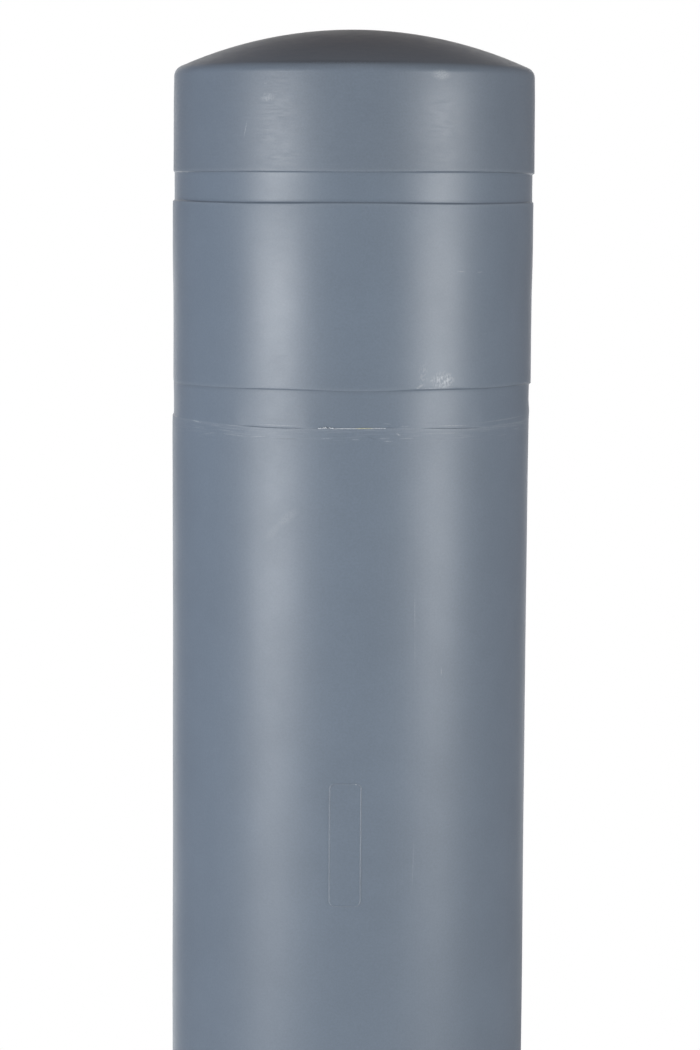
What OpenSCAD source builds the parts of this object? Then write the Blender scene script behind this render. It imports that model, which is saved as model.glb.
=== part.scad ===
// Bollard cover sleeve: a domed plastic tube that drops over a steel pipe bollard
// and is held on it by self-adhesive foam pads stuck to the inside of its wall.
// Millimetres. +Z is up, the origin is the middle of the foot, and the blank panel faces -Y.

/* [Bollard] */
// Outside diameter of the pipe that the sleeve covers
pipe_d = 168.3; // [110:0.1:330]

/* [Sleeve] */
// Height from the foot to the crown of the dome
sleeve_h = 1320; // [900:10:1830]
// Wall thickness
wall = 3.2; // [2.4:0.1:6]
// Radius of the dome
dome_r = 217.5; // [190:2.5:500]
// Radius of the shoulder between the wall and the dome
shoulder_r = 6.5; // [6.5:0.5:20]

/* [Tape bands] */
// Distance from the crown down to the upper band
upper_band_drop = 72; // [60:0.5:120]
// Height of the upper band
upper_band_h = 15; // [10:0.5:40]
// Depth of the upper band
upper_band_depth = 0.8; // [0.3:0.1:1.6]
// Distance from the crown down to the lower band
lower_band_drop = 179; // [170:0.5:300]
// Height of the lower band
lower_band_h = 18; // [10:0.5:40]
// Depth of the lower band
lower_band_depth = 0.5; // [0.3:0.1:1.6]
// Height over which the edge of a band slopes in
band_lead = 0.8; // [0.4:0.1:3]

/* [Blank panel] */
// Width of the raised frame
panel_w = 16.4; // [10:0.2:60]
// Height of the raised frame
panel_h = 63; // [30:1:160]
// Outer radius of the frame's corners
panel_corner_r = 3.2; // [2:0.1:5]
// Distance from the lower band down to the frame
panel_gap = 177.5; // [20:0.5:300]
// Width of the frame's bead
bead_w = 0.8; // [0.5:0.1:2]
// Height of the frame's bead above the wall
bead_h = 0.4; // [0.2:0.1:1.5]

/* [Foam pads] */
// Width of a pad across the wall
pad_w = 50; // [30:1:70]
// Length of a pad along the wall
pad_l = 150; // [60:5:300]
// Thickness of a pad squeezed between the sleeve and the pipe
pad_t = 4.5; // [2:0.1:20]
// Radius of a pad's corners
pad_corner_r = 6; // [1:0.5:14]
// Thickness of the adhesive film behind a pad
film_t = 0.25; // [0.1:0.05:1]
// Clearance between the adhesive film and the wall
film_gap = 0.1; // [0.05:0.05:0.3]
// Distance from the lower band down to the upper pads
upper_pad_gap = 40; // [10:5:200]
// Height of the lower pads above the foot
lower_pad_rise = 30; // [0:5:150]

/* [Hidden] */
$fn = 96;
// How far a cut runs past the face that it opens
overrun = 5;

// Round sizes, from the pipe outwards
pipe_r = pipe_d / 2;
film_r = pipe_r + pad_t;
bore_r = film_r + film_t + film_gap;
outer_r = bore_r + wall;

// Heights above the foot
dome_centre_z = sleeve_h - dome_r;
shoulder_x = outer_r - shoulder_r;
shoulder_z = dome_centre_z + sqrt((dome_r - shoulder_r) ^ 2 - shoulder_x ^ 2);
upper_band_z = sleeve_h - upper_band_drop - upper_band_h;
lower_band_z = sleeve_h - lower_band_drop - lower_band_h;
panel_z = lower_band_z - panel_gap - panel_h;
upper_pad_z = lower_band_z - upper_pad_gap - pad_l;
lower_pad_z = lower_pad_rise;

// Each level has a pad on every side, at these turns about the axis from -Y
PAD_SIDES = ["front", "right", "back", "left"];
PAD_TURN = 360 / len(PAD_SIDES);

// Region inside the sleeve's outer face moved inwards by inset, from foot_z up to the dome
module sleeve_region(inset, foot_z) {
    reach_share = dome_r / (dome_r - shoulder_r);
    tangent_x = shoulder_x * reach_share;
    tangent_z = dome_centre_z + (shoulder_z - dome_centre_z) * reach_share;

    difference() {
        union() {
            translate([0, foot_z])
                square([outer_r - inset, shoulder_z - foot_z]);
            translate([shoulder_x, shoulder_z])
                circle(r = shoulder_r - inset);
            intersection() {
                translate([0, dome_centre_z])
                    circle(r = dome_r - inset);
                polygon([
                    [0, dome_centre_z],
                    [tangent_x, tangent_z],
                    [tangent_x, sleeve_h],
                    [0, sleeve_h]
                ]);
            }
        }
        band_region(upper_band_z, upper_band_h, upper_band_depth, inset);
        band_region(lower_band_z, lower_band_h, lower_band_depth, inset);
    }
}

// Cross-section of a tape band with sloping edges, as seen at a depth of inset in the wall
module band_region(band_z, band_h, band_depth, inset) {
    floor_r = outer_r - band_depth - inset;
    slope = band_lead / band_depth;
    mouth = band_depth + overrun;

    polygon([
        [floor_r, band_z - inset + band_lead],
        [floor_r + mouth, band_z - inset + band_lead - mouth * slope],
        [floor_r + mouth, band_z + band_h + inset - band_lead + mouth * slope],
        [floor_r, band_z + band_h + inset - band_lead]
    ]);
}

// Rectangle with round corners, centred in x and standing on y = 0
module rounded_rectangle(w, h, corner_r) {
    translate([-w / 2, corner_r])
        square([w, h - 2 * corner_r]);
    translate([-w / 2 + corner_r, 0])
        square([w - 2 * corner_r, h]);
    for (x = [-w / 2 + corner_r, w / 2 - corner_r], y = [corner_r, h - corner_r])
        translate([x, y])
            circle(r = corner_r);
}

// Patch of a tube between two radii that faces -Y, with round corners, standing at height z
module wall_patch(inner_r, patch_t, w, h, corner_r, z) {
    intersection() {
        translate([0, 0, z - overrun])
            difference() {
                cylinder(r = inner_r + patch_t, h = h + 2 * overrun);
                translate([0, 0, -overrun])
                    cylinder(r = inner_r, h = h + 4 * overrun);
            }
        translate([0, 0, z])
            rotate([90, 0, 0])
                linear_extrude(height = inner_r + patch_t + overrun)
                    rounded_rectangle(w, h, corner_r);
    }
}

// Raised bead round the blank panel, rooted in the middle of the wall
module panel_frame() {
    root = wall / 2;

    difference() {
        wall_patch(outer_r - root, root + bead_h, panel_w, panel_h, panel_corner_r, panel_z);
        translate([0, 0, panel_z + bead_w])
            rotate([90, 0, 0])
                linear_extrude(height = outer_r + bead_h + overrun)
                    rounded_rectangle(panel_w - 2 * bead_w, panel_h - 2 * bead_w, panel_corner_r - bead_w);
    }
}

// One moulding: dome, shoulder, wall with its recessed bands, and the frame of the blank panel
module sleeve_shell() {
    color("#74808E") {
        rotate_extrude()
            difference() {
                sleeve_region(0, 0);
                sleeve_region(wall, -overrun);
            }
        panel_frame();
    }
}

// Foam pad on one side, squeezed to the pipe's radius on its inner face
module foam_pad(turn, z) {
    color("#3A3C3E")
        rotate([0, 0, turn])
            wall_patch(pipe_r, pad_t, pad_w, pad_l, pad_corner_r, z);
}

// Adhesive films of one level, between the foam pads and the wall
module adhesive_films(z) {
    color("#D9D6CC")
        for (i = [0 : len(PAD_SIDES) - 1])
            rotate([0, 0, i * PAD_TURN])
                wall_patch(film_r, film_t, pad_w, pad_l, pad_corner_r, z);
}

sleeve_shell();
for (i = [0 : len(PAD_SIDES) - 1]) {
    foam_pad(i * PAD_TURN, upper_pad_z);
    foam_pad(i * PAD_TURN, lower_pad_z);
}
adhesive_films(upper_pad_z);  // upper_adhesive_films
adhesive_films(lower_pad_z);  // lower_adhesive_films
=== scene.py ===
"""Bollard cover sleeve: the looks of a domed plastic tube that drops over a steel pipe bollard.

The shell is one moulding with a dome, a rounded shoulder, two shallow tape bands and a bare raised panel.
Foam pads inside it grip the pipe, each on a film of adhesive.
Lengths are metres, +Z is up, the origin is the middle of the foot, and the panel faces -Y.
"""

import math
from functools import partial

import bmesh
import bpy
from bpy.props import FloatProperty, FloatVectorProperty, IntProperty, PointerProperty
from mathutils import Matrix, Vector, noise


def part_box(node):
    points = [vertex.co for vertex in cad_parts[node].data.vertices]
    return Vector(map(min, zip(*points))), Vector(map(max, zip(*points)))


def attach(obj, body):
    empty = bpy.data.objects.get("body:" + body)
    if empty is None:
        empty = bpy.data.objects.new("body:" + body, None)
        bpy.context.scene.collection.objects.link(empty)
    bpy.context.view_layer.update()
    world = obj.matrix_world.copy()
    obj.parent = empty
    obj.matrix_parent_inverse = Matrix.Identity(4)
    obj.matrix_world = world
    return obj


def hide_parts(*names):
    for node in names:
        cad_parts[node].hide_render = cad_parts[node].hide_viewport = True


bl_info = {
    "name": "Bollard cover sleeve",
    "version": (1, 0, 0),
    "blender": (4, 5, 0),
    "location": "View3D > Sidebar > Bollard sleeve",
    "description": "Moulds a bollard cover sleeve with its foam pads, and sets a plain studio round it",
    "category": "Add Mesh",
}

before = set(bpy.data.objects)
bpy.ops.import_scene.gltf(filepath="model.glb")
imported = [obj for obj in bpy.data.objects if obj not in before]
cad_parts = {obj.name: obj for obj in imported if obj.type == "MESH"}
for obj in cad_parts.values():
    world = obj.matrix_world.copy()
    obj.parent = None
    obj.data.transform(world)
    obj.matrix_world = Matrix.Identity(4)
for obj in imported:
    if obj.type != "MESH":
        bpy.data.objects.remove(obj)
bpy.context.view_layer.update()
SHELL_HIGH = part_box("sleeve_shell")[1]
PAD_LOW, PAD_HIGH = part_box("upper_foam_pad_front")
FILM_NODES = ("upper_adhesive_films", "lower_adhesive_films")
PAD_LEVELS = ("upper", "lower")
PAD_SIDES = ("front", "right", "back", "left")

MM = 0.001

# Sideways step of each stretch of the wall, in mm along X, where the mould's sections didn't quite line up
TUBE_SHIFT = -0.32
LOWER_BAND_SHIFT = -0.04
MIDDLE_SHIFT = 0.33
UPPER_BAND_SHIFT = 0.47
CAP_SHIFT = 0.7

# How each ledge wanders up and down round the sleeve: (waves in a turn, height in mm, phase in degrees)
LOWER_LEDGE_WAVES = ((0, 0.2, 0), (1, 1, 186), (2, 0.33, 231), (3, 0.24, 338), (4, 0.27, 14), (5, 0.43, 86))
LOWER_LIP_WAVES = ((0, 0.15, 0), (1, 0.14, 31), (2, 0.11, 35), (3, 0.17, 95), (4, 0.15, 245),
                   (5, 0.17, 234), (7, 0.21, 101), (8, 0.28, 236))
UPPER_LEDGE_WAVES = ((0, -0.4, 0), (1, 0.28, 187), (2, 0.07, 135), (3, 0.15, 195), (4, 0.19, 23),
                     (5, 0.12, 0))
UPPER_LIP_WAVES = ((0, 0.1, 0), (1, 0.21, 203), (2, 0.16, 75), (3, 0.16, 69), (4, 0.22, 217))

# How far the wall stands out where it cooled unevenly, as (drop from the crown, swell), both in mm
WALL_SWELL = (
    (18, 0), (40, 0.32), (61, 0.43), (74, 0.53), (112, 0.57), (138, 0.22), (158, 0.18),
    (174, 0.3), (190, 0.13), (240, 0.02), (394, 0.06), (497, 0.4), (700, 0),
)

# Where the lower ledge is still sharp: middle and half width in degrees round from the front, and how sharp
# as a share. It is worn flush elsewhere.
SHARP_LEDGE = ((-90, 18, 1), (-25, 11, 0.7), (2.5, 13, 0.9), (35, 10.5, 0.72))

# Single marks on the rolled-out wall, in mm: arc from the front and drop from the crown of one end, the same
# of the other end, the width, and how strong the mark is as a share
PALE_MARKS = (
    (-43.4, 29.6, -42.2, 29.6, 1.2, 0.15),
    (-45.5, 36.8, -37.5, 35.8, 2.8, 0.25),
    (-53.2, 46.8, -55.6, 56.5, 0.9, 0.3),
    (43, 25, 50, 25, 6.5, 0.38),
    (42, 174.4, 43.4, 173.9, 1.6, 0.5),
    (49.2, 175.8, 50.2, 174, 1.7, 0.6),
    (51, 177, 53, 176.6, 1.4, 0.5),
    (34.4, 178, 38, 175.9, 1.6, 0.4),
    (35, 178.1, 56.5, 178, 1.3, 0.35),
    (56, 120.5, 62, 120.9, 0.8, 0.25),
    (69, 121.3, 73, 121, 0.8, 0.2),
    (-41, 253, -34, 245, 6, 0.12),
    (-36, 246.5, -25.5, 238.5, 7, 0.14),
    (-38, 249, -30, 241, 2.5, 0.1),
    (34.6, 277, 34.8, 302, 0.9, 0.16),
    (34.8, 300, 35.1, 319, 0.9, 0.08),
    (49.8, 317.5, 49.9, 321.7, 1.1, 0.2),
    (35.5, 399, 34.2, 435, 0.8, 0.12),
    (24.4, 200, 26.2, 201, 1.2, 0.38),
    (-96, 196.8, -85.5, 197.6, 0.9, 0.4),
    (-85.5, 203.3, -73.5, 201.9, 0.8, 0.14),
    (-74, 199.1, -51.5, 199.5, 0.8, 0.18),
    (-74, 200, -57.5, 200.9, 0.8, 0.18),
    (-67, 197.9, -50, 197.3, 0.7, 0.14),
    (-73, 201.9, -51, 202.8, 0.8, 0.22),
    (-52.5, 203, -40, 202, 0.8, 0.28),
    # The next two are pale lines along the lower ledge where the softboxes' highlights fall: painted
    # highlight
    (-51, 196.4, -20.5, 196.7, 0.8, 0.32),
    (44.5, 196.5, 67.5, 197.1, 0.8, 0.28),
    (63, 196.2, 128, 194.3, 0.9, 0.17),
    (70, 198, 128, 197.5, 0.8, 0.14),
    (-14, 202.6, -6.5, 202.2, 0.7, 0.24),
    (1.1, 202.9, 6.5, 202.9, 0.7, 0.25),
    (14.6, 202.4, 21.4, 202.3, 0.8, 0.25),
    (17.4, 203.7, 22.9, 203.8, 0.8, 0.32),
    (25.5, 202.5, 34, 202.3, 0.8, 0.16),
    (17.5, 195, 22, 195.4, 0.8, 0.2),
    (25.5, 196.5, 31, 196.5, 0.8, 0.2),
    (5, 375, 5.5, 375.3, 0.7, 0.8),
)
# Patches rubbed into fine flecks: arc and drop of the middle, width, height, and strength as a share
RUBBED_PATCHES = (
    (49, 174.2, 16, 11, 0.9),
    (48.5, 175.3, 12, 6, 0.9),
    (-41.5, 36.3, 10, 5.5, 0.32),
    (46.5, 25.8, 13, 6, 0.12),
    (38, 171, 7, 16, 0.18),
)
DARK_MARKS = (
    # Painted shade in a band under the shoulder, across the front
    (-62, 19.5, 48, 19.5, 3, 0.55),
    (-39, 203.3, -23.5, 202.9, 0.8, 0.6),
    (-42, 256, -36.5, 248.5, 0.8, 0.14),
    (-48, 42.3, -29.3, 42.2, 1.2, 0.2),
    (-46, 193.5, -25, 194.4, 2.4, 0.17),
    (37, 195, 50, 195.2, 1.6, 0.15),
    (44, 203, 53, 203.2, 0.8, 0.25),
    (7.5, 200.4, 15, 203.4, 1, 0.3),
)

# Crumbs of the torn flash: start and end in degrees round from the front, and radius and lift in mm
FLASH_CRUMBS = ((-9.1, -7.6, 0.2, 0.25), (-7.9, -5.8, 0.32, 0.45), (-5.9, -3.4, 0.22, 0.3))

# How dull the skin is down the wall, as (drop from the crown in mm, roughness). It steps at the bands' edges.
SHEEN = (
    (0, 0.45), (28, 0.45), (42, 0.428), (60, 0.44), (72, 0.46), (72.5, 0.408), (87, 0.408), (87.5, 0.45),
    (98, 0.43), (123, 0.388), (144, 0.4), (164, 0.413), (179, 0.41), (179.5, 0.427), (197, 0.427),
    (197.5, 0.437), (235, 0.434), (260, 0.425), (330, 0.425), (380, 0.437),
)

# Nearly all of a noise texture's values lie between these
NOISE_LOW, NOISE_HIGH = 0.3, 0.7

# Vertex attribute for how an edge is painted: up to 1 it is paler, a painted highlight on the corners of the
# bands' edges and a paler crown on the bead, and down to -1 it is darker, painted shade in a crease
EDGE_TONE = "edge_tone"


def linear(hex_colour):
    """Turns an sRGB hex colour such as #74808E into linear red, green and blue."""
    parts = [int(hex_colour[i:i + 2], 16) / 255 for i in (1, 3, 5)]
    return tuple(c / 12.92 if c <= 0.04045 else ((c + 0.055) / 1.055) ** 2.4 for c in parts)


def length(name, description, default):
    """A length in metres that a user can set."""
    return FloatProperty(
        name=name, description=description, default=default, min=0, unit="LENGTH", precision=5
    )


def colour(name, description, hex_colour):
    """A colour that a user can set, held as linear light."""
    return FloatVectorProperty(
        name=name, description=description, default=linear(hex_colour), subtype="COLOR", size=3,
        min=0, max=1,
    )


def angle(name, description, degrees):
    """An angle that a user can set."""
    return FloatProperty(name=name, description=description, default=math.radians(degrees), subtype="ANGLE")


def power(name, description, watts):
    """The power of a lamp that a user can set."""
    return FloatProperty(name=name, description=description, default=watts, min=0, unit="POWER")


class ShellSizes(bpy.types.PropertyGroup):
    """Sizes and colours of the moulded shell."""

    outer_r: length("Outer radius", "Outside radius of the wall", SHELL_HIGH.x)
    height: length("Height", "From the foot to the crown of the dome", SHELL_HIGH.z)
    wall: length("Wall", "Thickness of the moulding", 3.2 * MM)
    dome_r: length("Dome radius", "Radius of the dome", 217.5 * MM)
    shoulder_r: length("Shoulder radius", "Radius between the wall and the dome", 5.5 * MM)
    upper_band_drop: length("Upper band drop", "From the crown down to the upper band", 72 * MM)
    upper_band_h: length("Upper band height", "Height of the upper band", 15 * MM)
    upper_band_depth: length("Upper band depth", "Depth of the upper band", 0.8 * MM)
    lower_band_drop: length("Lower band drop", "From the crown down to the lower band", 179 * MM)
    lower_band_h: length("Lower band height", "Height of the lower band", 18 * MM)
    lower_band_depth: length("Lower band depth", "Depth of the lower band", 0.5 * MM)
    lip_lead: length("Lip lead", "Height over which the top edge of a band slopes in", 0.5 * MM)
    upper_ledge_lead: length("Upper ledge lead", "Height over which the upper ledge slopes in", 0.65 * MM)
    lower_ledge_lead: length("Lower ledge lead", "Height over which the lower ledge slopes in", 0.26 * MM)
    ledge_round: length("Ledge rounding", "Rounding of the corners of a band's edges", 0.3 * MM)
    lower_ledge_round: length("Lower ledge rounding", "Rounding of the lower ledge's corners", 0.1 * MM)
    panel_w: length("Panel width", "Width of the raised frame of the panel", 16.4 * MM)
    panel_h: length("Panel height", "Height of the raised frame of the panel", 63 * MM)
    panel_corner_r: length("Panel corner", "Outer radius of the frame's corners", 3.2 * MM)
    panel_drop: length("Panel drop", "From the crown down to the frame", 374.5 * MM)
    bead_w: length("Bead width", "Width of the frame's bead", 0.8 * MM)
    bead_h: length("Bead height", "Height of the frame's bead above the wall", 0.4 * MM)
    foot_round: length("Foot rounding", "Rounding of the trimmed edges of the foot", 0.5 * MM)
    turns: IntProperty(name="Steps round", description="Steps round the axis", default=256, min=24)
    plastic: colour("Plastic", "Colour of the polyethylene", "#707D8C")
    cap_plastic: colour("Cap plastic", "Colour of the polyethylene above the upper band", "#6E7A88")
    # The groove colour is also used for painted shade: under the shoulder and in the creases of the bands
    groove_and_shade: colour("Grooves", "Colour in the bottom of a scratch", "#4E5863")
    # The scuff colour is also used for painted highlight on the corners of the bands' edges and along the
    # lower ledge, and for the bead's paler crown
    scuff_and_highlight: colour("Scuffs", "Colour where the plastic is scraped", "#C9CFD6")
    flash_white: colour("Flash", "Colour of the torn flash", "#DAE2EA")
    flash_straw: colour("Straw flash", "Colour of the flash that has yellowed", "#D9DAB4")


class PadSizes(bpy.types.PropertyGroup):
    """Sizes and colours of the foam pads and their adhesive films."""

    width: length("Width", "Width of a pad across the wall", 50 * MM)
    tall: length("Length", "Length of a pad along the wall", PAD_HIGH.z - PAD_LOW.z)
    thickness: length("Thickness", "Thickness of a pad against the pipe", 4.5 * MM)
    corner_r: length("Corner", "Radius of a pad's corners", 6 * MM)
    edge_round: length("Edge rounding", "Softness of the die-cut edges", 0.7 * MM)
    bulge: length("Bulge", "How far the squeezed sides swell out", 0.35 * MM)
    foam: colour("Foam", "Colour of the foam", "#3A3C3E")
    # The colour of the painted shade in the cut cells
    foam_pore_shade: colour("Foam cells", "Colour of the cut cells", "#26282A")
    film: colour("Film", "Colour of the adhesive film", "#D9D6CC")


class StageSettings(bpy.types.PropertyGroup):
    """Camera, lamps and floor of the studio."""

    camera_distance: length("Camera distance", "From the sleeve's axis to the lens, level", 1737 * MM)
    camera_height: length("Camera height", "Height of the lens above the foot", 1238.9 * MM)
    camera_side: angle("Camera side", "How far the camera stands round to the right of the panel", 1.1)
    camera_pitch: angle("Camera pitch", "How far the camera looks down", 7.49)
    camera_roll: angle("Camera roll", "How far the camera leans to the left", 0.345)
    lens: FloatProperty(name="Lens", description="Focal length", default=114.75, unit="CAMERA")
    softbox_w: length("Softbox width", "Width of each softbox", 0.94)
    softbox_h: length("Softbox height", "Height of each softbox", 0.92)
    left_z: length("Left softbox level", "Height of the middle of the left softbox", 1.075)
    right_z: length("Right softbox level", "Height of the middle of the right softbox", 1.175)
    softbox_distance: length("Softbox distance", "From the sleeve's axis to each softbox", 2.0)
    left_power: power("Left softbox", "Power of the left softbox", 26.6)
    right_power: power("Right softbox", "Power of the right softbox", 22.3)
    left_side: angle("Left softbox side", "Where the left softbox stands, round from the front", -46.8)
    right_side: angle("Right softbox side", "Where the right softbox stands, round from the front", 56.2)
    left_lean: angle("Left softbox lean", "How far the foot of the left softbox leans to the front", 25)
    right_lean: angle("Right softbox lean", "How far the foot of the right softbox leans to the front", 27)
    floor: colour("Floor", "Colour of the floor", "#E6E6E4")


class SleeveSettings(bpy.types.PropertyGroup):
    """All the settings of the sleeve and its studio."""

    shell: PointerProperty(type=ShellSizes)
    pad: PointerProperty(type=PadSizes)
    stage: PointerProperty(type=StageSettings)


def smooth_step(low, high, value):
    """0 below low, 1 above high, and smooth between them."""
    share = min(max((value - low) / (high - low), 0), 1)
    return share * share * (3 - 2 * share)


def add_node(tree, kind, *values, **settings):
    """Adds a node, sets its properties, and gives its inputs values or links.

    Values fill the inputs in order, and a dict fills them by name. A node stands for its first output.
    """
    made = tree.nodes.new("ShaderNode" + kind)
    for name, value in settings.items():
        setattr(made, name, value)
    inputs = {}
    for i, value in enumerate(values):
        inputs.update(value if isinstance(value, dict) else {i: value})
    for key, value in inputs.items():
        if isinstance(value, bpy.types.Node):
            value = value.outputs[0]
        if isinstance(value, bpy.types.NodeSocket):
            tree.links.new(value, made.inputs[key])
        else:
            made.inputs[key].default_value = value
    return made


def new_material(name):
    """A material without nodes, as (material, what adds a node to it)."""
    material = bpy.data.materials.new(name)
    material.use_nodes = True
    material.node_tree.nodes.clear()
    return material, partial(add_node, material.node_tree)


def make_piece(name, bm, material):
    """Turns a bmesh into a piece of the object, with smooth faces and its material."""
    for face in bm.faces:
        face.smooth = True
    mesh = bpy.data.meshes.new(name)
    bm.to_mesh(mesh)
    bm.free()
    mesh.materials.append(material)
    piece = bpy.data.objects.new(name, mesh)
    bpy.context.scene.collection.objects.link(piece)
    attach(piece, "root")
    return piece


def soften(bm, geom, rounding, segments, affect="EDGES"):
    """Rounds edges, or the corners of a line or a sheet, with an arc."""
    bmesh.ops.bevel(
        bm, geom=geom, offset=rounding, offset_type="OFFSET", segments=segments,
        profile=0.5, affect=affect, material=-1,
    )


def turn_of(point):
    """Turn of a point about the axis, from the front, in radians."""
    return math.atan2(point.x, -point.y)


def wander(waves, turn):
    """Height in metres of a ledge's waves at one turn about the axis."""
    return sum(h * MM * math.cos(n * turn - math.radians(phase)) for n, h, phase in waves)


def ledge_wear(turn):
    """How far the lower ledge's step is smoothed away at one turn about the axis, from 0 to 1."""
    fade = (0.6, 1.2)
    edge_share = 1
    for middle, half_width, sharp in SHARP_LEDGE:
        away = smooth_step(*fade, abs(turn - math.radians(middle)) / math.radians(half_width))
        edge_share *= 1 - sharp * (1 - away)
    return edge_share


def wall_swell(drop):
    """How far the wall stands out, in metres, at a drop from the crown in mm."""
    swell = WALL_SWELL[0][1]
    for (high, before), (low, after) in zip(WALL_SWELL, WALL_SWELL[1:]):
        swell += (after - before) * smooth_step(high, low, drop)
    return swell * MM


def ledges(size):
    """The four edges of the bands from the foot up: (middle of its slope, height of its slope, waves)."""
    lower_top = size.height - size.lower_band_drop
    upper_top = size.height - size.upper_band_drop
    lower_foot = lower_top - size.lower_band_h
    upper_foot = upper_top - size.upper_band_h
    return (
        (lower_foot + size.lower_ledge_lead / 2, size.lower_ledge_lead, LOWER_LEDGE_WAVES),
        (lower_top - size.lip_lead / 2, size.lip_lead, LOWER_LIP_WAVES),
        (upper_foot + size.upper_ledge_lead / 2, size.upper_ledge_lead, UPPER_LEDGE_WAVES),
        (upper_top - size.lip_lead / 2, size.lip_lead, UPPER_LIP_WAVES),
    )


def draw_profile(bm, size):
    """Draws the outer face's half section in the XZ plane, from the foot up to the crown."""
    depths = (size.lower_band_depth, size.lower_band_depth, size.upper_band_depth, size.upper_band_depth)
    points = [(size.outer_r, 0)]
    for i, (z, lead, _) in enumerate(ledges(size)):
        radii = (size.outer_r, size.outer_r - depths[i])
        below, above = radii if i % 2 == 0 else reversed(radii)
        points += [(below, z - lead / 2), (above, z + lead / 2)]

    shoulder_x = size.outer_r - size.shoulder_r
    dome_z = size.height - size.dome_r
    shoulder_z = dome_z + math.sqrt((size.dome_r - size.shoulder_r) ** 2 - shoulder_x ** 2)
    points.append((size.outer_r, shoulder_z))
    verts = [bm.verts.new((x, 0, z)) for x, z in points]
    for low, high in zip(verts, verts[1:]):
        bm.edges.new((low, high))

    # The shoulder and the dome are arcs, swept on from the last point
    shoulder_steps, dome_steps = 9, 14
    lean = math.atan2(shoulder_z - dome_z, shoulder_x)
    arcs = (
        ((shoulder_x, 0, shoulder_z), lean, shoulder_steps),
        ((0, 0, dome_z), math.pi / 2 - lean, dome_steps),
    )
    tip = verts[-1]
    for centre, swing, steps in arcs:
        swept = bmesh.ops.spin(bm, geom=[tip], cent=centre, axis=(0, -1, 0), angle=swing, steps=steps)
        tip = next(v for v in swept["geom_last"] if isinstance(v, bmesh.types.BMVert))
    tip.co.x = 0
    for corners, rounding in ((verts[1:3], size.lower_ledge_round), (verts[3:-1], size.ledge_round)):
        soften(bm, corners, rounding, 3, affect="VERTICES")


def cut_rows(bm, size):
    """Cuts the half section into rows that are close together at the ledges and the panel."""
    beside_ledge = 2 * MM
    beside_panel = 2 * MM
    row = 12 * MM
    panel_top = size.height - size.panel_drop
    heights = [z + side * beside_ledge for z, _, _ in ledges(size) for side in (-1, 1)]
    heights += [panel_top + beside_panel, panel_top - size.panel_h - beside_panel]
    for z in heights:
        bmesh.ops.bisect_plane(
            bm, geom=bm.verts[:] + bm.edges[:], dist=1e-7, plane_co=(0, 0, z), plane_no=(0, 0, 1)
        )
    for edge in [e for e in bm.edges if e.calc_length() > row]:
        bmesh.ops.subdivide_edges(bm, edges=[edge], cuts=math.ceil(edge.calc_length() / row) - 1)


def settle_wall(bm, size):
    """Gives the wall the small unevenness that the mould and the cooling left in it."""
    ledge_reach = (2 * MM, 9 * MM)
    sag_size, sag = 75 * MM, 0.09 * MM
    lip_reach, lip_highlight = (0.1 * MM, 0.6 * MM), 0.3
    worn_share, worn_reach = 0.95, 3 * MM
    edge_layer = bm.verts.layers.float.new(EDGE_TONE)
    rows = ledges(size)
    shifts = (TUBE_SHIFT, LOWER_BAND_SHIFT, MIDDLE_SHIFT, UPPER_BAND_SHIFT, CAP_SHIFT)
    for vert in bm.verts:
        point = vert.co.copy()
        turn = turn_of(point)
        radial = Vector((point.x, point.y, 0))
        out = radial.normalized()
        shift = shifts[0]
        for (z, lead, waves), low, high in zip(rows, shifts, shifts[1:]):
            reach = worn_reach if waves is LOWER_LEDGE_WAVES else lead
            shift += (high - low) * smooth_step(z - reach, z + reach, point.z)
            near = 1 - smooth_step(*ledge_reach, abs(point.z - z))
            vert.co.z += near * wander(waves, turn)
            if waves is LOWER_LEDGE_WAVES:
                vert.co += out * (size.outer_r - radial.length) * worn_share * ledge_wear(turn) * near
            # Along each band edge the wall's outer corner gets a painted highlight, and the sunken face
            # beside it gets painted shade in the crease, except at the lower ledge
            marked = 1 - smooth_step(*lip_reach, abs(point.z - z) - lead / 2)
            if radial.length > size.outer_r - lip_reach[0]:
                vert[edge_layer] += lip_highlight * marked
            elif waves is not LOWER_LEDGE_WAVES:
                # Painted shade in the crease
                vert[edge_layer] -= marked
        vert.co.x += shift * MM
        if radial.length > size.outer_r / 2:
            vert.co += out * sag * noise.noise(point / sag_size)
            vert.co += out * wall_swell((size.height - point.z) / MM)


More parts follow.
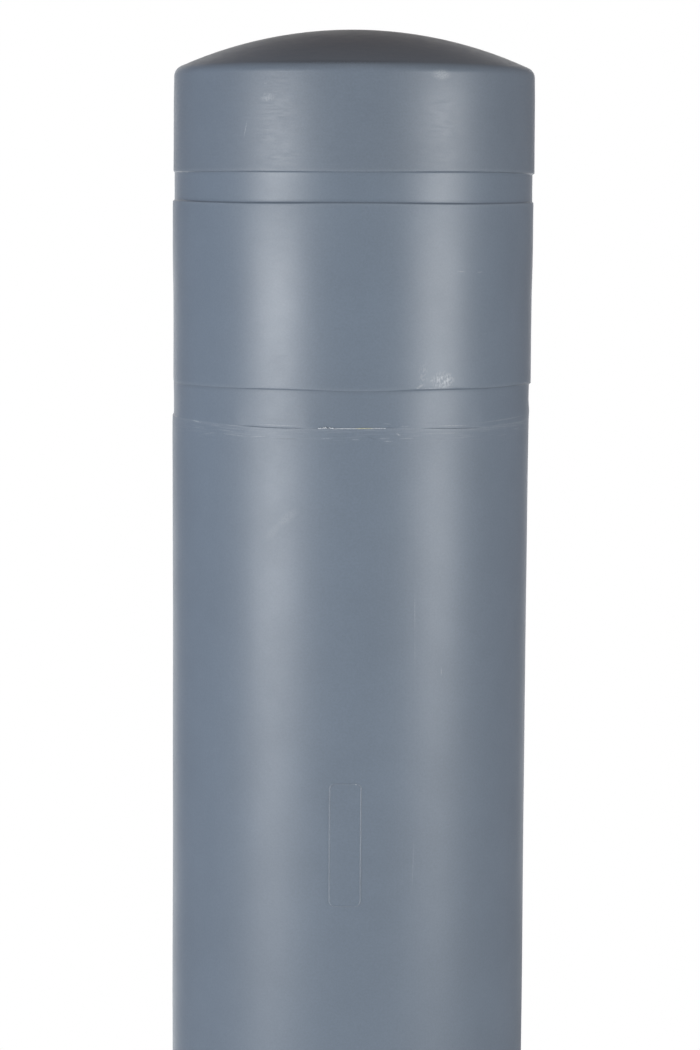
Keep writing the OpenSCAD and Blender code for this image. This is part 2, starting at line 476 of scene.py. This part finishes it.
def raise_panel(bm, size):
    """Raises the panel's bead out of the outer face, after cutting the face finely enough to hold it."""
    fine, coarse = 0.2 * MM, 4 * MM
    margin = 1.5 * MM
    top_pale = 0.6
    half_w, half_h = size.panel_w / 2, size.panel_h / 2
    mid_z = size.height - size.panel_drop - half_h
    skin_r = size.outer_r - size.wall / 2

    def in_zone(face):
        middle = face.calc_center_median()
        return (
            middle.y < 0
            and abs(middle.x) < half_w + margin
            and abs(middle.z - mid_z) < half_h + margin
            and math.hypot(middle.x, middle.y) > skin_r
        )

    def cuts(half):
        """Places to cut on either side of the middle, fine past the start of the corners."""
        corner = half - size.panel_corner_r - size.bead_w
        wide = [coarse * i for i in range(math.ceil(corner / coarse))]
        steps = math.ceil((half + 2 * fine - corner) / fine)
        places = wide + [corner + fine * i for i in range(steps)]
        return sorted({side * place for place in places for side in (-1, 1)})

    zone = [face for face in bm.faces if in_zone(face)]
    geom = list({part for face in zone for part in (face, *face.edges, *face.verts)})
    planes = [((x, 0, mid_z), (1, 0, 0)) for x in cuts(half_w)]
    planes += [((0, 0, mid_z + z), (0, 0, 1)) for z in cuts(half_h)]
    for place, across in planes:
        geom = bmesh.ops.bisect_plane(bm, geom=geom, dist=1e-7, plane_co=place, plane_no=across)["geom"]

    # The bead's height is a bell across its width, on a line with round corners
    line_r = size.panel_corner_r - size.bead_w / 2
    edge_layer = bm.verts.layers.float[EDGE_TONE]
    for vert in [part for part in geom if isinstance(part, bmesh.types.BMVert)]:
        arc = abs(turn_of(vert.co)) * size.outer_r
        past_x = arc - (half_w - size.panel_corner_r)
        past_z = abs(vert.co.z - mid_z) - (half_h - size.panel_corner_r)
        outside = math.hypot(max(past_x, 0), max(past_z, 0))
        off_line = abs(outside + min(max(past_x, past_z), 0) - line_r)
        if off_line < size.bead_w / 2:
            lift = size.bead_h * (1 + math.cos(2 * math.pi * off_line / size.bead_w)) / 2
            vert.co += Vector((vert.co.x, vert.co.y, 0)).normalized() * lift
            # The bead's crown is marked to be painted paler
            vert[edge_layer] = top_pale * (lift / size.bead_h) ** 2


def round_foot(bm, size):
    """Rounds the two trimmed edges of the foot."""
    level, facing_down = 1e-6, -0.5
    edges = [e for e in bm.edges if all(abs(v.co.z) < level for v in e.verts)]
    rims = [e for e in edges if any(f.normal.z > facing_down for f in e.link_faces)]
    soften(bm, rims, size.foot_round, 2)


def spread(mark):
    """Middle, half size, tilt and strength of a mark, given by its two ends or by its middle and size."""
    if len(mark) == 5:
        arc, drop, width, height, strength = mark
        return (arc, drop, 0), (width / 2, height / 2, 1), 0, strength
    arc_0, drop_0, arc_1, drop_1, width, strength = mark
    run = math.hypot(arc_1 - arc_0, drop_1 - drop_0) + width
    tilt = math.atan2(drop_1 - drop_0, arc_1 - arc_0)
    return ((arc_0 + arc_1) / 2, (drop_0 + drop_1) / 2, 0), (run / 2, width / 2, 1), tilt, strength


def roll_out(add, place, size):
    """The wall rolled out in mm, round from the front and down from the crown, as (place on it, drop)."""
    x, y, z = add("SeparateXYZ", place).outputs
    front = add("Math", y, -1, operation="MULTIPLY")
    turn = add("Math", x, front, operation="ARCTAN2")
    arc = add("Math", turn, size.outer_r / MM, operation="MULTIPLY")
    drop = add("Math", z, -1 / MM, size.height / MM, operation="MULTIPLY_ADD")
    return add("CombineXYZ", arc, drop), drop


def scrape_ledge(add, flat, drop, ledge_drop):
    """How scraped the wall is under the lower ledge, where flash was pared off in thin runs at two slants."""
    run, gap = 15, 0.6
    thin_low, thin_high = 0.56, 0.74
    start, full, fading, end = (ledge_drop + below for below in (-0.3, 1.2, 4, 9))
    scraped = 0
    for slant, seed in ((2.5, 0), (-5, 40)):
        along = add("Mapping", {
            "Vector": flat, "Location": (seed, seed, 0), "Rotation": (0, 0, math.radians(slant)),
            "Scale": (1 / run, 1 / gap, 1),
        })
        streak = add("TexNoise", {"Vector": along, "Scale": 1, "Detail": 2})
        thin = add("MapRange", streak, thin_low, thin_high)
        scraped = add("Math", scraped, thin, operation="MAXIMUM")
    under = add("MapRange", drop, start, full)
    over = add("MapRange", drop, end, fading)
    near = add("Math", under, over, operation="MULTIPLY")
    return add("Math", scraped, near, operation="MULTIPLY")


def draw_marks(add, flat):
    """Single marks, soft-edged and broken up by the grit that wore them, as (pale, dark, grit). A few are
    painted light: pale lines of painted highlight along the lower ledge, and a band of painted shade under
    the shoulder.
    """
    grit_size, grit_low, grit_high, least = 0.8, 0.3, 0.62, 0.25
    stroke_w, stroke_l, stroke_tilt = 0.9, 2, math.radians(18)
    fleck_low, fleck_high = 0.45, 0.62
    soft_edge = 0.8
    grit = add("TexNoise", {"Vector": flat, "Scale": 1 / grit_size, "Detail": 2})
    broken = add("MapRange", grit, grit_low, grit_high, least, 1)
    strokes = add("Mapping", {
        "Vector": flat, "Rotation": (0, 0, stroke_tilt), "Scale": (1 / stroke_w, 1 / stroke_l, 1),
    })
    fleck = add("TexNoise", {"Vector": strokes, "Scale": 1, "Detail": 2})
    flecked = add("MapRange", fleck, fleck_low, fleck_high)
    totals = []
    for marks, texture in ((PALE_MARKS, broken), (DARK_MARKS, broken), (RUBBED_PATCHES, flecked)):
        total = 0
        for mark in marks:
            middle, half_size, tilt, strength = spread(mark)
            local = add("Mapping", {
                "Vector": flat, "Location": middle, "Rotation": (0, 0, tilt), "Scale": half_size,
            }, vector_type="TEXTURE")
            spot = add("TexGradient", {"Vector": local}, gradient_type="SPHERICAL").outputs["Fac"]
            shown = add("MapRange", spot, 0, soft_edge, 0, strength,
                        interpolation_type="SMOOTHSTEP", clamp=False)
            total = add("Math", total, shown, operation="MAXIMUM")
        totals.append(add("Math", total, texture, operation="MULTIPLY"))
    pale, dark, marked = totals
    return add("Math", pale, marked, operation="MAXIMUM"), dark, broken


def sheen_down(add, drop):
    """How dull the skin is down the wall, because the mould wasn't polished evenly."""
    deepest = SHEEN[-1][0]
    along = add("Math", drop, deepest, operation="DIVIDE")
    sheen = add("ValToRGB", along)
    stops = sheen.color_ramp.elements
    for stop, (_, rough) in zip(stops, (SHEEN[0], SHEEN[-1])):
        stop.color = (rough, rough, rough, 1)
    for stop_drop, rough in SHEEN[1:-1]:
        stops.new(stop_drop / deepest).color = (rough, rough, rough, 1)
    return sheen


def polyethylene(size):
    """Low-density polyethylene, moulded against a turned metal face.

    To the eye it is a satin blue-grey, a little uneven in colour, with faint rings that break a highlight
    into fine level streaks. Handling leaves pale scrapes, most of them under the lower ledge.
    """
    material, add = new_material("moulded_polyethylene")
    place = add("TexCoord").outputs["Object"]
    flat, drop = roll_out(add, place, size)

    # Rings from the turned mould, which are clear on the cap and faint below it
    ring_gap, ring_run = 1.1 * MM, 6 * MM
    noise_middle = 0.5
    cap_foot, cap_fade, faint = size.upper_band_drop / MM, 0.5, 0.45
    stretched = add("Mapping", {
        "Vector": place, "Scale": (1 / ring_run, 1 / ring_run, 1 / ring_gap),
    })
    rings = add("TexNoise", {"Vector": stretched, "Scale": 1, "Detail": 3})
    rings = add("Math", rings, noise_middle, operation="SUBTRACT")
    on_cap = add("MapRange", drop, cap_foot + cap_fade, cap_foot)
    clear = add("Math", on_cap, 1 - faint, faint, operation="MULTIPLY_ADD")
    rings = add("Math", rings, clear, operation="MULTIPLY")

    # Clouds in the pigment, and the grain of the skin, which is really about 0.1 mm and drawn coarser to show
    cloud_size, cloud_low, cloud_high = 38 * MM, 0.25, 0.75
    grain_size = 0.9 * MM
    clouds = add("TexNoise", {
        "Vector": place, "Scale": 1 / cloud_size, "Detail": 4, "Roughness": 0.55,
    })
    grain = add("TexNoise", {"Vector": place, "Scale": 1 / grain_size, "Detail": 1})

    # Lines drawn down the tube by the stripping from the mould
    line_gap, line_run = 1.7 * MM, 240 * MM
    ledge_drop, ledge_fade = (size.lower_band_drop + size.lower_band_h) / MM, 1
    drawn = add("Mapping", {
        "Vector": place, "Scale": (1 / line_gap, 1 / line_gap, 1 / line_run),
    })
    lines = add("TexNoise", {"Vector": drawn, "Scale": 1, "Detail": 1})
    on_tube = add("MapRange", drop, ledge_drop, ledge_drop + ledge_fade)
    lines = add("Math", lines, on_tube, operation="MULTIPLY")
    scraped = scrape_ledge(add, flat, drop, ledge_drop)
    pale, dark, broken = draw_marks(add, flat)

    # The raised bead's crown is painted paler than the wall, the corners of the bands' edges get a painted
    # highlight, and the creases get painted shade
    crease_shade_share, scrape_share, pale_edge_share = 0.2, 0.14, 0.3
    edge_share = add("Attribute", attribute_name=EDGE_TONE).outputs["Fac"]
    crease_shade = add("MapRange", edge_share, 0, -1, 0, crease_shade_share)
    dark = add("Math", dark, crease_shade, operation="MAXIMUM")
    edge_share = add("Math", edge_share, 0, operation="MAXIMUM")
    edge_share = add("Math", edge_share, broken, operation="MULTIPLY")
    pale = add("Math", scraped, scrape_share, pale, operation="MULTIPLY_ADD")
    pale = add("Math", edge_share, pale_edge_share, pale, operation="MULTIPLY_ADD")

    # The colour is a few per cent lighter or darker in the clouds, the rings and the grain
    ring_height = 0.2
    tone = add("MapRange", clouds, cloud_low, cloud_high, 0.95, 1.05)
    streaks = add("MapRange", rings, -ring_height, ring_height, 0.98, 1.02)
    tone = add("Math", tone, streaks, operation="MULTIPLY")
    speckle = add("MapRange", grain, NOISE_LOW, NOISE_HIGH, 0.96, 1.04)
    tone = add("Math", tone, speckle, operation="MULTIPLY")
    pigment = add("Mix", {
        0: on_cap, 6: (*size.plastic, 1), 7: (*size.cap_plastic, 1),
    }, data_type="RGBA").outputs[2]
    skin = add("HueSaturation", {"Value": tone, "Color": pigment})
    # Paler in scrapes, marks and painted highlight, and darker in dark marks and painted shade
    skin = add("Mix", {0: pale, 6: skin, 7: (*size.scuff_and_highlight, 1)}, data_type="RGBA").outputs[2]
    skin = add("Mix", {0: dark, 6: skin, 7: (*size.groove_and_shade, 1)}, data_type="RGBA").outputs[2]

    # The rings break up the sheen, the clouds make it blotchy, and the scrapes, pale marks and painted
    # highlight are duller
    ring_dulls, cloud_dulls, pale_dulls = 0.2, 0.025, 0.2
    dull = sheen_down(add, drop)
    blotch = add("MapRange", clouds, cloud_low, cloud_high, cloud_dulls, -cloud_dulls)
    dull = add("Math", rings, ring_dulls, dull, operation="MULTIPLY_ADD")
    dull = add("Math", dull, blotch, operation="ADD")
    dull = add("Math", pale, pale_dulls, dull, operation="MULTIPLY_ADD")

    ring_relief, line_relief, grain_relief, pale_relief = 0.035 * MM, 0.02 * MM, 0.014 * MM, 0.03 * MM
    relief = add("Bump", {"Height": rings, "Distance": ring_relief})
    relief = add("Bump", {"Height": lines, "Distance": line_relief, "Normal": relief})
    relief = add("Bump", {"Height": grain, "Distance": grain_relief, "Normal": relief})
    relief = add("Bump", {"Height": pale, "Distance": pale_relief, "Normal": relief})
    shader = add("BsdfPrincipled", {
        "Base Color": skin, "Roughness": dull, "Normal": relief, "IOR": 1.57,
    })
    add("OutputMaterial", {"Surface": shader})
    return material


def torn_flash(size):
    """Flash torn off at the mould's joint line: plastic stretched thin and white, yellowed as it aged."""
    material, add = new_material("torn_flash")
    place = add("TexCoord").outputs["Object"]
    straw_start, straw_full, straw_fading, straw_end = 2.6, 6.7, 10.5, 13
    fray_size, fray_relief = 0.6 * MM, 0.08 * MM
    x = add("SeparateXYZ", place).outputs["X"]
    along = add("Math", x, MM, operation="DIVIDE")
    straw = 1
    for none, full in ((straw_start, straw_full), (straw_end, straw_fading)):
        share = add("MapRange", along, none, full, interpolation_type="SMOOTHSTEP")
        straw = add("Math", straw, share, operation="MULTIPLY")
    fray = add("TexNoise", {"Vector": place, "Scale": 1 / fray_size, "Detail": 3})
    tint = add("Mix", {
        0: straw, 6: (*size.flash_white, 1), 7: (*size.flash_straw, 1),
    }, data_type="RGBA").outputs[2]
    tone = add("MapRange", fray, NOISE_LOW, NOISE_HIGH, 0.75, 1.05)
    tint = add("HueSaturation", {"Value": tone, "Color": tint})
    relief = add("Bump", {"Height": fray, "Distance": fray_relief})
    shader = add("BsdfPrincipled", {
        "Base Color": tint, "Roughness": 0.6, "IOR": 1.51, "Normal": relief,
    })
    add("OutputMaterial", {"Surface": shader})
    return material


def closed_cell_foam(size):
    """Closed-cell rubber foam, split and die-cut: the cut cells show as fine pores in dull charcoal, darkened
    with painted shade.

    The cells are really about 0.3 mm, and are drawn at 0.8 mm so that they show.
    """
    cell, cloud_size, cell_relief = 0.8 * MM, 9 * MM, 0.15 * MM
    pore_rim, pore_bottom = 0.45, 0.1
    material, add = new_material("closed_cell_foam")
    place = add("TexCoord").outputs["Object"]
    pores = add("TexVoronoi", {"Vector": place, "Scale": 1 / cell}).outputs["Distance"]
    clouds = add("TexNoise", {"Vector": place, "Scale": 1 / cloud_size, "Detail": 3})
    # The cells' hollows are darkened with painted shade
    pore_shade = add("MapRange", pores, pore_rim, pore_bottom)
    tint = add("Mix", {
        0: pore_shade, 6: (*size.foam, 1), 7: (*size.foam_pore_shade, 1),
    }, data_type="RGBA").outputs[2]
    tone = add("MapRange", clouds, NOISE_LOW, NOISE_HIGH, 0.88, 1.1)
    tint = add("HueSaturation", {"Value": tone, "Color": tint})
    relief = add("Bump", {"Height": pores, "Distance": cell_relief})
    shader = add("BsdfPrincipled", {
        "Base Color": tint, "Roughness": 0.9, "IOR": 1.5, "Normal": relief,
    })
    add("OutputMaterial", {"Surface": shader})
    return material


def acrylic_adhesive(size):
    """Cast acrylic adhesive film: milky and smooth, with trapped air showing as paler patches."""
    air_size, air_low, air_high = 5 * MM, 0.35, 0.65
    air_relief = 0.03 * MM
    material, add = new_material("acrylic_adhesive_film")
    place = add("TexCoord").outputs["Object"]
    air = add("TexNoise", {"Vector": place, "Scale": 1 / air_size, "Detail": 3})
    tone = add("MapRange", air, air_low, air_high, 0.9, 1.05)
    tint = add("HueSaturation", {"Value": tone, "Color": (*size.film, 1)})
    dull = add("MapRange", air, air_low, air_high, 0.25, 0.4)
    relief = add("Bump", {"Height": air, "Distance": air_relief})
    shader = add("BsdfPrincipled", {
        "Base Color": tint, "Roughness": dull, "IOR": 1.47, "Normal": relief,
    })
    add("OutputMaterial", {"Surface": shader})
    return material


def tear_flash(size):
    """A sliver of flash along the lower ledge: a few crumbs at its left end, then a thin thread."""
    start, thread_start, end = math.radians(-9.2), math.radians(-4.2), math.radians(12.4)
    steps = 170
    thread_r, hair_share = 0.16 * MM, 0.13
    fray_size, fray, ragged = 0.45 * MM, 0.6 * MM, 0.5
    fade = math.radians(0.8)
    full_share = 0.3
    ledge_z, lead, waves = ledges(size)[0]
    middle = Vector((size.outer_r + thread_r / 3, 0, ledge_z - lead / 2))
    shift = Vector((TUBE_SHIFT * MM, 0, 0))

    bm = bmesh.new()
    ring = bmesh.ops.create_circle(bm, segments=8, radius=thread_r)["verts"]
    bmesh.ops.rotate(bm, verts=ring, cent=(0, 0, 0), matrix=Matrix.Rotation(math.pi / 2, 3, "X"))
    bmesh.ops.translate(bm, verts=ring, vec=middle)
    bmesh.ops.rotate(bm, verts=ring, cent=(0, 0, 0), matrix=Matrix.Rotation(start - math.pi / 2, 3, "Z"))
    bmesh.ops.spin(
        bm, geom=bm.verts[:] + bm.edges[:], cent=(0, 0, 0), axis=(0, 0, 1), angle=end - start, steps=steps
    )
    bmesh.ops.holes_fill(bm, edges=[e for e in bm.edges if e.is_boundary])
    for vert in bm.verts:
        turn = turn_of(vert.co)
        core = Matrix.Rotation(turn - math.pi / 2, 3, "Z") @ middle
        thread = smooth_step(thread_start, thread_start + fade, turn)
        thread *= 1 - smooth_step(end - fade, end, turn)
        girth = max(thread, hair_share)
        rise = wander(waves, turn)
        for crumb_start, crumb_end, crumb_r, lift in FLASH_CRUMBS:
            off_middle = abs(turn - math.radians(crumb_start + crumb_end) / 2)
            half = math.radians(crumb_end - crumb_start) / 2
            swell = 1 - smooth_step(full_share, 1, off_middle / half)
            girth += swell * crumb_r * MM / thread_r
            rise += swell * (lift * MM + fray * noise.noise(core / fray_size))
        out = (vert.co - core) * girth
        out *= 1 + ragged * noise.noise((core + out) / fray_size)
        vert.co = core + out + shift + Vector((0, 0, rise))
    bmesh.ops.recalc_face_normals(bm, faces=bm.faces[:])
    return bm


def cut_pad(size, outer_r, middle_z, turn):
    """A die-cut foam pad, bent round the pipe with its outer face at outer_r."""
    strip, row = 4 * MM, 25 * MM
    face_skin = 0.05 * size.thickness
    sharp = math.radians(50)
    bm = bmesh.new()
    bmesh.ops.create_grid(bm, x_segments=1, y_segments=1, size=0.5)
    bmesh.ops.scale(bm, vec=(size.width, size.tall, 1), verts=bm.verts[:])
    bmesh.ops.rotate(bm, cent=(0, 0, 0), matrix=Matrix.Rotation(math.pi / 2, 3, "X"), verts=bm.verts[:])
    soften(bm, bm.verts[:], size.corner_r, 6, affect="VERTICES")
    for gap, reach, across in ((strip, size.width, Vector((1, 0, 0))), (row, size.tall, Vector((0, 0, 1)))):
        cuts = int(reach / 2 / gap)
        for i in range(-cuts, cuts + 1):
            bmesh.ops.bisect_plane(
                bm, geom=bm.verts[:] + bm.edges[:] + bm.faces[:], dist=1e-7,
                plane_co=across * gap * i, plane_no=across,
            )
    bmesh.ops.solidify(bm, geom=bm.faces[:], thickness=size.thickness)

    # The sides swell a little between the two gripped faces, and the cut edges are soft
    sides = [e for e in bm.edges if abs(e.verts[0].co.y - e.verts[1].co.y) > size.thickness / 2]
    bmesh.ops.subdivide_edges(bm, edges=sides, cuts=2)
    bm.normal_update()
    between = [v for v in bm.verts if face_skin < v.co.y < size.thickness - face_skin]
    swell = [(v, Vector((v.normal.x, 0, v.normal.z))) for v in between]
    for vert, out in swell:
        vert.co += out.normalized() * size.bulge
    rims = [e for e in bm.edges if e.is_manifold and e.calc_face_angle() > sharp]
    soften(bm, rims, size.edge_round, 2)
    for vert in bm.verts:
        radius, side = outer_r - vert.co.y, vert.co.x / outer_r
        vert.co = Vector((radius * math.sin(side), -radius * math.cos(side), vert.co.z + middle_z))
    bmesh.ops.rotate(bm, cent=(0, 0, 0), matrix=Matrix.Rotation(turn, 3, "Z"), verts=bm.verts[:])
    bmesh.ops.recalc_face_normals(bm, faces=bm.faces[:])
    return bm


class SLEEVE_OT_mould_shell(bpy.types.Operator):
    """Moulds the shell: dome, shoulder, wall, tape bands and the bare panel"""

    bl_idname = "bollard_sleeve.mould_shell"
    bl_label = "Mould the shell"

    def execute(self, context):
        size = context.scene.bollard_sleeve.shell
        bm = bmesh.new()
        draw_profile(bm, size)
        cut_rows(bm, size)
        bmesh.ops.spin(
            bm, geom=bm.verts[:] + bm.edges[:], cent=(0, 0, 0), axis=(0, 0, 1), angle=math.tau,
            steps=size.turns, use_merge=True,
        )
        bmesh.ops.remove_doubles(bm, verts=bm.verts[:], dist=1e-6)
        bmesh.ops.recalc_face_normals(bm, faces=bm.faces[:])
        settle_wall(bm, size)
        bmesh.ops.solidify(bm, geom=bm.faces[:], thickness=size.wall)
        raise_panel(bm, size)
        round_foot(bm, size)
        piece = make_piece("moulded_sleeve", bm, polyethylene(size))
        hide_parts("sleeve_shell")
        return {"FINISHED"}


class SLEEVE_OT_leave_flash(bpy.types.Operator):
    """Leaves a sliver of torn flash on the joint line at the lower ledge"""

    bl_idname = "bollard_sleeve.leave_flash"
    bl_label = "Leave the flash"

    def execute(self, context):
        size = context.scene.bollard_sleeve.shell
        make_piece("ledge_flash", tear_flash(size), torn_flash(size))
        return {"FINISHED"}


class SLEEVE_OT_lay_pads(bpy.types.Operator):
    """Lays a foam pad on every side of the bore, at both levels"""

    bl_idname = "bollard_sleeve.lay_pads"
    bl_label = "Lay the foam pads"

    def execute(self, context):
        size = context.scene.bollard_sleeve.pad
        material = closed_cell_foam(size)
        outer_r = -PAD_LOW.y
        for level in PAD_LEVELS:
            for i, side in enumerate(PAD_SIDES):
                node = f"{level}_foam_pad_{side}"
                low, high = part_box(node)
                bm = cut_pad(size, outer_r, (low.z + high.z) / 2, i * math.tau / len(PAD_SIDES))
                piece = make_piece(f"{level}_grip_pad_{side}", bm, material)
                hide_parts(node)
        return {"FINISHED"}


class SLEEVE_OT_finish_films(bpy.types.Operator):
    """Gives the adhesive films behind the pads their finish"""

    bl_idname = "bollard_sleeve.finish_films"
    bl_label = "Finish the adhesive films"

    def execute(self, context):
        material = acrylic_adhesive(context.scene.bollard_sleeve.pad)
        for name in FILM_NODES:
            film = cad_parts[name]
            film.data.materials.clear()
            film.data.materials.append(material)
        return {"FINISHED"}


class SLEEVE_OT_set_stage(bpy.types.Operator):
    """Sets the camera, the softboxes, the floor and the white surroundings"""

    bl_idname = "bollard_sleeve.set_stage"
    bl_label = "Set the stage"

    def execute(self, context):
        stage = context.scene.bollard_sleeve.stage
        context.scene.view_settings.view_transform = "Standard"
        place_camera(context, stage)
        hang_softboxes(context, stage)
        lay_floor(context, stage)
        paint_surroundings(context)
        return {"FINISHED"}


def place_camera(context, stage):
    """Puts the camera level with the upper band, looking a little down."""
    lens_shift = 0.1
    aim_past_axis = 0.06 * MM
    data = bpy.data.cameras.new("camera")
    data.lens = stage.lens
    data.sensor_width = 36
    data.shift_y = lens_shift
    camera = bpy.data.objects.new("camera", data)
    context.scene.collection.objects.link(camera)
    aside = Matrix.Rotation(stage.camera_side, 4, "Z")
    spot = aside @ Vector((0, -stage.camera_distance, stage.camera_height))
    yaw = stage.camera_side - math.atan2(aim_past_axis, stage.camera_distance)
    camera.matrix_world = (
        Matrix.Translation(spot)
        @ Matrix.Rotation(yaw, 4, "Z")
        @ Matrix.Rotation(math.pi / 2 - stage.camera_pitch, 4, "X")
        @ Matrix.Rotation(stage.camera_roll, 4, "Z")
    )
    context.scene.camera = camera


def hang_softboxes(context, stage):
    """Hangs a large softbox on each side of the camera."""
    for name, side, level, lean, watts in (
        ("left_softbox", stage.left_side, stage.left_z, -stage.left_lean, stage.left_power),
        ("right_softbox", stage.right_side, stage.right_z, stage.right_lean, stage.right_power),
    ):
        data = bpy.data.lights.new(name, "AREA")
        data.shape = "RECTANGLE"
        data.size = stage.softbox_w
        data.size_y = stage.softbox_h
        data.energy = watts
        lamp = bpy.data.objects.new(name, data)
        context.scene.collection.objects.link(lamp)
        lamp.matrix_world = (
            Matrix.Rotation(side, 4, "Z")
            @ Matrix.Translation((0, -stage.softbox_distance, level))
            @ Matrix.Rotation(lean, 4, "Y")
            @ Matrix.Rotation(math.pi / 2, 4, "X")
        )


def lay_floor(context, stage):
    """Lays a pale floor that keeps the shadow and fades to white away from the sleeve."""
    floor_r, fade_start, fade_end = 4, 0.5, 1.6
    sweep_middle, sweep_reach, sweep_end = math.radians(-11), math.radians(19), math.radians(27)
    bm = bmesh.new()
    bmesh.ops.create_circle(bm, cap_ends=True, segments=96, radius=floor_r)
    mesh = bpy.data.meshes.new("floor")
    bm.to_mesh(mesh)
    bm.free()
    floor = bpy.data.objects.new("floor", mesh)
    context.scene.collection.objects.link(floor)
    material, add = new_material("painted_floor")
    mesh.materials.append(material)
    place = add("TexCoord").outputs["Object"]
    away = add("VectorMath", place, operation="LENGTH").outputs["Value"]
    fade = add("MapRange", away, fade_start, fade_end, interpolation_type="SMOOTHSTEP")
    path = add("LightPath").outputs
    seen = add("Math", path["Is Camera Ray"], path["Is Transmission Ray"], operation="MAXIMUM")

    # Only the stretch under the white sweep behind the sleeve is bright in reflections
    across, depth, _ = add("SeparateXYZ", place).outputs
    bearing = add("Math", across, depth, operation="ARCTAN2")
    aside = add("Math", bearing, sweep_middle, operation="SUBTRACT")
    aside = add("Math", aside, operation="ABSOLUTE")
    behind = add("MapRange", aside, sweep_end, sweep_reach)
    mirrored = add("Math", path["Is Glossy Ray"], behind, operation="MULTIPLY")
    seen = add("Math", seen, mirrored, operation="MAXIMUM")
    white = add("Math", fade, seen, operation="MULTIPLY")
    paint = add("BsdfDiffuse", {"Color": (*stage.floor, 1)})
    bright = add("Math", mirrored, 1, operation="ADD")
    glow = add("Emission", {"Color": (1, 1, 1, 1), "Strength": bright})
    surface = add("MixShader", white, paint, glow)

    # Nothing is hidden from below: the underside is clear
    underside = add("NewGeometry").outputs["Backfacing"]
    clear = add("BsdfTransparent")
    surface = add("MixShader", underside, surface, clear)
    add("OutputMaterial", {"Surface": surface})


def paint_surroundings(context):
    """White round the object for the camera, and a dim studio with a white sweep behind for the light."""
    world = bpy.data.worlds.new("studio")
    context.scene.world = world
    world.use_nodes = True
    world.node_tree.nodes.clear()
    add = partial(add_node, world.node_tree)
    ray = add("TexCoord").outputs["Generated"]
    across, depth, up = add("SeparateXYZ", ray).outputs
    bearing = add("Math", across, depth, operation="ARCTAN2")
    rise = add("Math", up, operation="ARCSINE")
    rad = math.radians

    # Each zone of the room takes over from those before it: (colour, what is measured, where it starts, where
    # it is full). They are the ceiling, the right wall, the dark end behind the sleeve and the left wall.
    room = (0.1, 0.097, 0.093, 1)
    for zone, measured, none, full in (
        ((0.297, 0.25, 0.219, 1), rise, rad(30), rad(50)),
        ((0.325, 0.335, 0.355, 1), across, 0.6, 0.95),
        ((0.145, 0.1, 0.075, 1), depth, 0.1, 0.4),
        ((0.29, 0.34, 0.44, 1), across, -0.55, -0.95),
    ):
        share = add("MapRange", measured, none, full, interpolation_type="SMOOTHSTEP")
        room = add("Mix", {0: share, 6: room, 7: zone}, data_type="RGBA").outputs[2]

    # The white sweep behind the sleeve reaches further to its left, widens below eye level, and is higher at
    # its sides than in the middle
    middle, reach, fade = rad(-5), rad(18), rad(7)
    widest_at, widening = rad(-12), rad(8)
    top, past_top, side_climb = rad(8), rad(25), 0.4
    sweep = (1.6, 1.6, 1.6, 1)
    aside = add("Math", bearing, middle, operation="SUBTRACT")
    aside = add("Math", aside, operation="ABSOLUTE")
    wider = add("MapRange", rise, 0, widest_at, 0, widening)
    aside = add("Math", aside, wider, operation="SUBTRACT")
    in_width = add("MapRange", aside, reach + fade, reach, interpolation_type="SMOOTHSTEP")
    swing = add("Math", bearing, operation="ABSOLUTE")
    above = add("Math", swing, -side_climb, rise, operation="MULTIPLY_ADD")
    in_height = add("MapRange", above, past_top, top, interpolation_type="SMOOTHSTEP")
    in_sweep = add("Math", in_width, in_height, operation="MULTIPLY")
    room = add("Mix", {0: in_sweep, 6: room, 7: sweep}, data_type="RGBA").outputs[2]
    path = add("LightPath").outputs
    seen = add("Math", path["Is Camera Ray"], path["Is Transmission Ray"], operation="MAXIMUM")
    shown = add("Mix", {0: seen, 6: room, 7: (1, 1, 1, 1)}, data_type="RGBA").outputs[2]
    light = add("Background", {"Color": shown, "Strength": 1})
    add("OutputWorld", {"Surface": light})


class SLEEVE_PT_sidebar(bpy.types.Panel):
    """Lists the sleeve's sizes, colours and making steps"""

    bl_idname = "SLEEVE_PT_sidebar"
    bl_label = "Bollard cover sleeve"
    bl_space_type = "VIEW_3D"
    bl_region_type = "UI"
    bl_category = "Bollard sleeve"

    def draw(self, context):
        settings = context.scene.bollard_sleeve
        groups = (
            (settings.stage, (SLEEVE_OT_set_stage,)),
            (settings.shell, (SLEEVE_OT_mould_shell, SLEEVE_OT_leave_flash)),
            (settings.pad, (SLEEVE_OT_lay_pads, SLEEVE_OT_finish_films)),
        )
        for group, steps in groups:
            box = self.layout.box()
            for name in group.bl_rna.properties.keys():
                if name not in ("rna_type", "name"):
                    box.prop(group, name)
            for step in steps:
                box.operator(step.bl_idname)


CLASSES = (
    ShellSizes, PadSizes, StageSettings, SleeveSettings,
    SLEEVE_OT_set_stage, SLEEVE_OT_mould_shell, SLEEVE_OT_leave_flash, SLEEVE_OT_lay_pads,
    SLEEVE_OT_finish_films, SLEEVE_PT_sidebar,
)


def register():
    for cls in CLASSES:
        bpy.utils.register_class(cls)
    bpy.types.Scene.bollard_sleeve = PointerProperty(type=SleeveSettings)


def unregister():
    del bpy.types.Scene.bollard_sleeve
    for cls in reversed(CLASSES):
        bpy.utils.unregister_class(cls)


def main():
    register()
    bpy.ops.bollard_sleeve.set_stage()
    bpy.ops.bollard_sleeve.mould_shell()
    bpy.ops.bollard_sleeve.leave_flash()
    bpy.ops.bollard_sleeve.lay_pads()
    bpy.ops.bollard_sleeve.finish_films()


if __name__ == "__main__":
    main()
